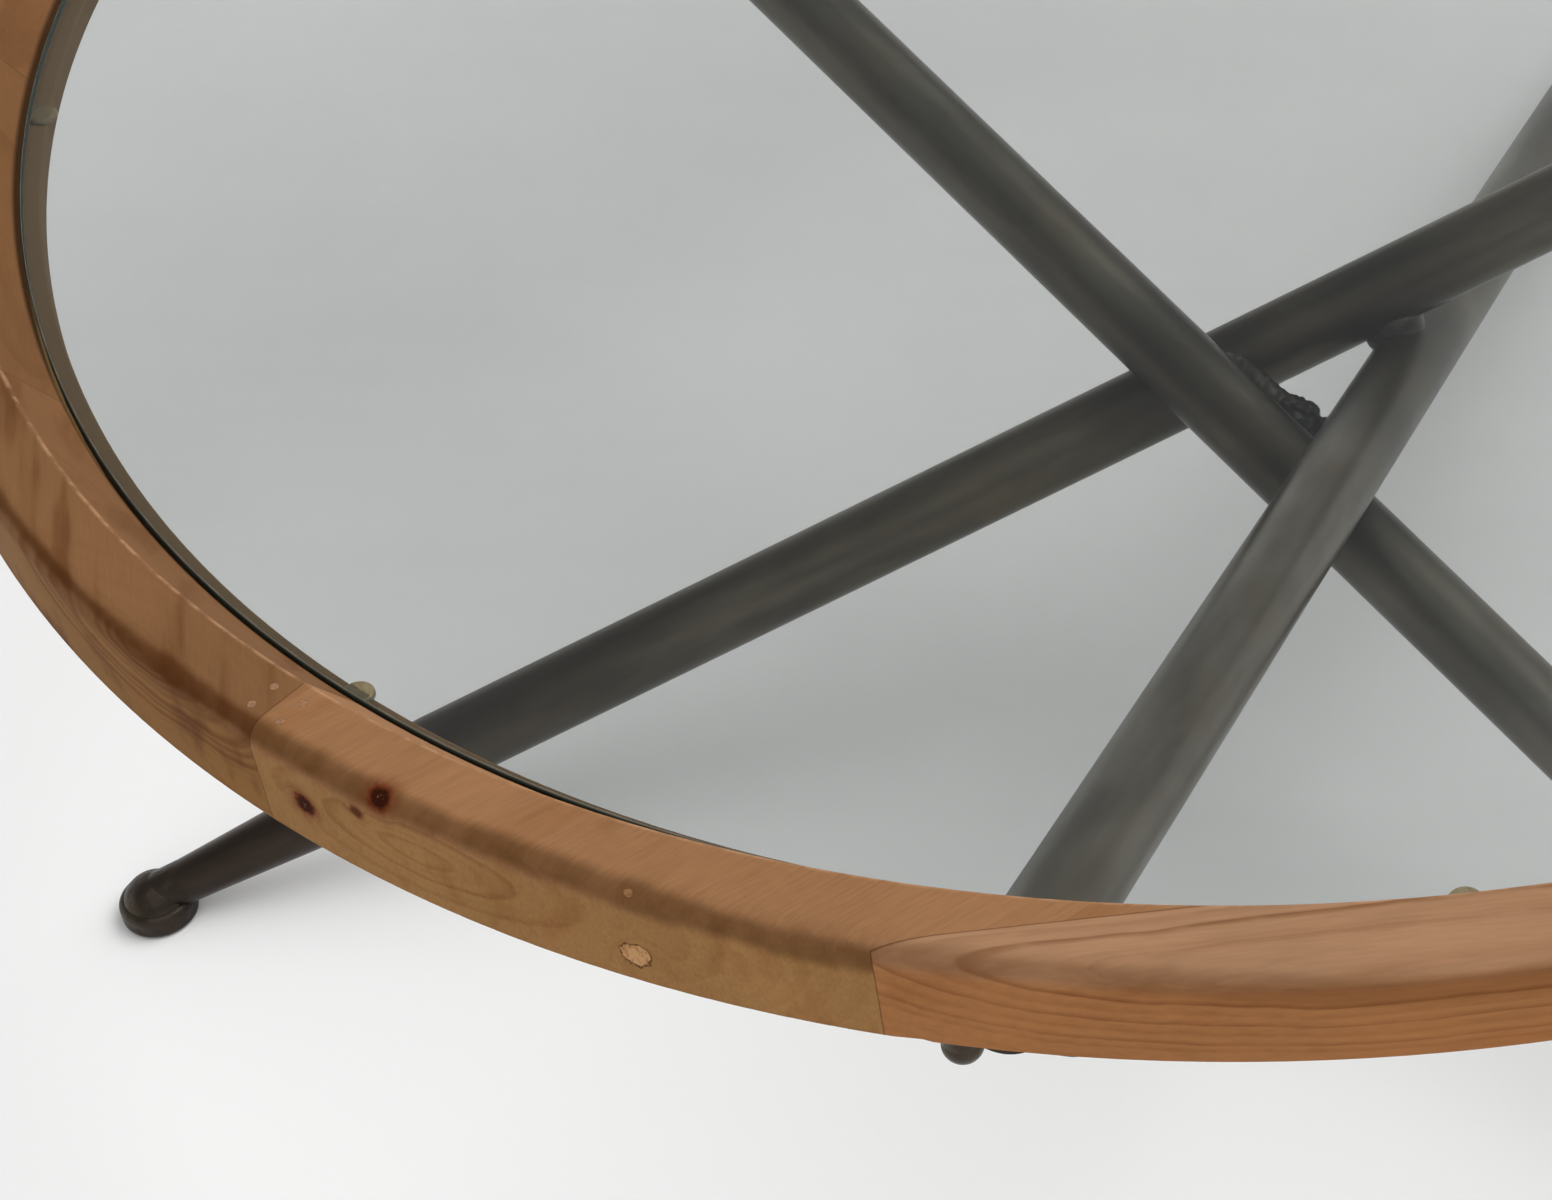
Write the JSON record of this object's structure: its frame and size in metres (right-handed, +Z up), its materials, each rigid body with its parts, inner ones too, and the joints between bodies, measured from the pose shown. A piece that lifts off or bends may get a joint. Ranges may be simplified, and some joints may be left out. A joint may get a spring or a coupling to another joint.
{
  "type": "coffee table",
  "caption": "Round low table: a glass disc let into a jointed wooden ring, carried on dark straight steel tubes that cross and are welded together, with knob feet.",
  "frame": {"origin": "on the floor under the centre of the rim, midway between the feet's soles", "axes": "+Z up, square to the glass; -Y points towards the picture's front of the rim"},
  "size_m": [1.0661, 1.066, 0.43],
  "materials": {
    "rim_wood": "satin oiled hardwood, reclaimed, with a worn edge",
    "tenon_wood": "plain planed",
    "plug_wood": "flush sanded",
    "clear_glass": "clear, polished edge with a green tint",
    "clear_bumper": "soft, translucent",
    "dark_steel": "blackened and waxed, satin",
    "forged_steel": "blackened and waxed, uneven",
    "screw_steel": "black oxide",
    "weld_steel": "blackened, rough"
  },
  "bodies": {
    "frame": {"rim_segment_01": "rim_wood", "rim_segment_02": "rim_wood", "rim_segment_03": "rim_wood", "rim_segment_04": "rim_wood", "rim_segment_05": "rim_wood", "rim_segment_06": "rim_wood", "rim_segment_07": "rim_wood", "rim_segment_08": "rim_wood", "rim_segment_09": "rim_wood", "rim_segment_10": "rim_wood", "rim_segment_11": "rim_wood", "rim_segment_12": "rim_wood", "rim_segment_13": "rim_wood", "rim_segment_14": "rim_wood", "rim_segment_15": "rim_wood", "joint_tenons": "tenon_wood", "joint_plugs": "plug_wood", "glass_bumpers": "clear_bumper", "leg_tube_1": "dark_steel", "leg_foot_1": "forged_steel", "leg_stem_1": "forged_steel", "mount_plate_1": "dark_steel", "leg_tube_2": "dark_steel", "leg_foot_2": "forged_steel", "leg_stem_2": "forged_steel", "mount_plate_2": "dark_steel", "leg_tube_3": "dark_steel", "leg_foot_3": "forged_steel", "leg_stem_3": "forged_steel", "mount_plate_3": "dark_steel", "mount_screws": "screw_steel", "crossing_weld_1": "weld_steel", "crossing_weld_2": "weld_steel", "crossing_weld_3": "weld_steel"},
    "glass": {"glass_top": "clear_glass"}
  },
  "joints": [
    {"name": "glass_lift", "type": "slide", "parent": "frame", "child": "glass", "axis": [0, 0, 1], "range_m": [0, 0.06]}
  ]
}
